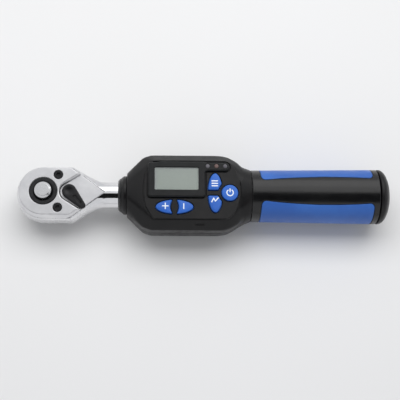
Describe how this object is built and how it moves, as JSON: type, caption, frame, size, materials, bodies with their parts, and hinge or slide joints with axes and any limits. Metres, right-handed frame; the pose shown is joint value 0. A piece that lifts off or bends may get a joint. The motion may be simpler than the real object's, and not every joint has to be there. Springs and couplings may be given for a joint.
{
  "type": "torque wrench",
  "caption": "Electronic torque wrench: reversible ratchet head with square drive, display housing with keys, round two-tone grip and battery end cap.",
  "frame": {"origin": "centre of the drive square, on the shoulder that the socket seats on", "axes": "+X from the drive axis towards the end cap, +Z out of the face with the display and the reversing lever"},
  "size_m": [0.2209, 0.0458, 0.0373],
  "materials": {
    "chrome_plate": "satin-bright chrome plating",
    "bright_chrome": "polished chrome plating",
    "black_steel": "black oxide",
    "hardened_steel": "black oxide on ground steel",
    "spring_steel": "bright wire",
    "beam_steel": "ground",
    "black_lever": "black satin",
    "black_rubber": "matt",
    "black_plastic": "fine moulded texture",
    "gloss_black": "gloss",
    "clear_window": "clear",
    "lcd_glass": "grey-green display",
    "white_plastic": "diffuse",
    "lamp_lens": "translucent",
    "board_laminate": "solder mask",
    "copper_foil": "bright",
    "blue_key": "soft-touch rubber",
    "grip_black": "fine texture",
    "grip_blue": "fine texture",
    "cell_sleeve": "printed sleeve"
  },
  "bodies": {
    "handle": {"head_body": "chrome_plate", "cover_plate": "chrome_plate", "cover_screws": "black_steel", "front_seal": "black_rubber", "front_collar": "black_plastic", "torque_beam": "beam_steel", "head_pin": "beam_steel", "tube_pin": "beam_steel", "strain_gauges": "copper_foil", "gauge_wires": "copper_foil", "upper_housing": "black_plastic", "lower_housing": "black_plastic", "housing_screws": "black_steel", "display_bezel": "gloss_black", "display_window": "clear_window", "lcd_panel": "lcd_glass", "backlight": "white_plastic", "indicator_lenses": "lamp_lens", "status_leds": "lamp_lens", "circuit_board": "board_laminate", "circuit_chips": "gloss_black", "buzzer": "gloss_black", "key_switches": "gloss_black", "handle_tube": "beam_steel", "grip_body": "grip_black", "left_grip_insert": "grip_blue", "right_grip_insert": "grip_blue", "battery_carrier": "black_plastic", "batteries": "cell_sleeve", "battery_contacts": "spring_steel", "battery_leads": "copper_foil"},
    "drive": {"drive_gear": "hardened_steel", "quick_release_spring": "spring_steel"},
    "release_button": {"quick_release_button": "bright_chrome"},
    "ball": {"detent_ball": "spring_steel"},
    "pawl": {"pawl": "hardened_steel"},
    "lever": {"direction_lever": "black_lever", "lever_plunger": "spring_steel", "lever_spring": "spring_steel"},
    "plus_button": {"plus_key": "blue_key"},
    "minus_button": {"minus_key": "blue_key"},
    "mode_button": {"mode_key": "blue_key"},
    "track_button": {"track_key": "blue_key"},
    "power_button": {"power_key": "blue_key"},
    "seal": {"cap_seal": "black_rubber"},
    "cap": {"end_cap": "black_plastic", "cap_contact": "copper_foil"}
  },
  "joints": [
    {"name": "drive_turn", "type": "hinge", "parent": "handle", "child": "drive", "pos_m": [0, 0, 0], "axis": [0, 0, 1], "continuous": true},
    {"name": "release_press", "type": "slide", "parent": "drive", "child": "release_button", "axis": [0, 0, -1], "range_m": [0, 0.002], "stiffness_N_per_m": 800, "springref_m": -0.001, "deforming": ["quick_release_spring"]},
    {"name": "ball_retract", "type": "slide", "parent": "drive", "child": "ball", "axis": [0, 1, 0], "range_m": [0, 0.0006]},
    {"name": "pawl_rock", "type": "hinge", "parent": "handle", "child": "pawl", "pos_m": [0.015, 0, 0.01], "axis": [0, 0, 1], "range_deg": [-6.6, 0]},
    {"name": "lever_turn", "type": "hinge", "parent": "handle", "child": "lever", "pos_m": [0.015, 0, 0.01], "axis": [0, 0, 1], "range_deg": [0, 95]},
    {"name": "plus_press", "type": "slide", "parent": "handle", "child": "plus_button", "axis": [0, 0, -1], "range_m": [0, 0.0008], "stiffness_N_per_m": 1500, "springref_m": -0.0003},
    {"name": "minus_press", "type": "slide", "parent": "handle", "child": "minus_button", "axis": [0, 0, -1], "range_m": [0, 0.0008], "stiffness_N_per_m": 1500, "springref_m": -0.0003},
    {"name": "mode_press", "type": "slide", "parent": "handle", "child": "mode_button", "axis": [0, 0, -1], "range_m": [0, 0.0008], "stiffness_N_per_m": 1500, "springref_m": -0.0003},
    {"name": "track_press", "type": "slide", "parent": "handle", "child": "track_button", "axis": [0, 0, -1], "range_m": [0, 0.0008], "stiffness_N_per_m": 1500, "springref_m": -0.0003},
    {"name": "power_press", "type": "slide", "parent": "handle", "child": "power_button", "axis": [0, 0, -1], "range_m": [0, 0.0008], "stiffness_N_per_m": 1500, "springref_m": -0.0003},
    {"name": "cap_slide", "type": "slide", "parent": "handle", "child": "seal", "axis": [1, 0, 0], "range_m": [0, 0.008]},
    {"name": "cap_turn", "type": "hinge", "parent": "seal", "child": "cap", "pos_m": [0.2, 0, 0.01], "axis": [1, 0, 0], "range_deg": [0, 1440]}
  ],
  "couplings": [
    {"joint": "ball_retract", "follows": "release_press", "ratio": 0.3},
    {"joint": "pawl_rock", "follows": "lever_turn", "ratio": -0.069474},
    {"joint": "cap_turn", "follows": "cap_slide", "rad_per_m": 3141.6}
  ]
}
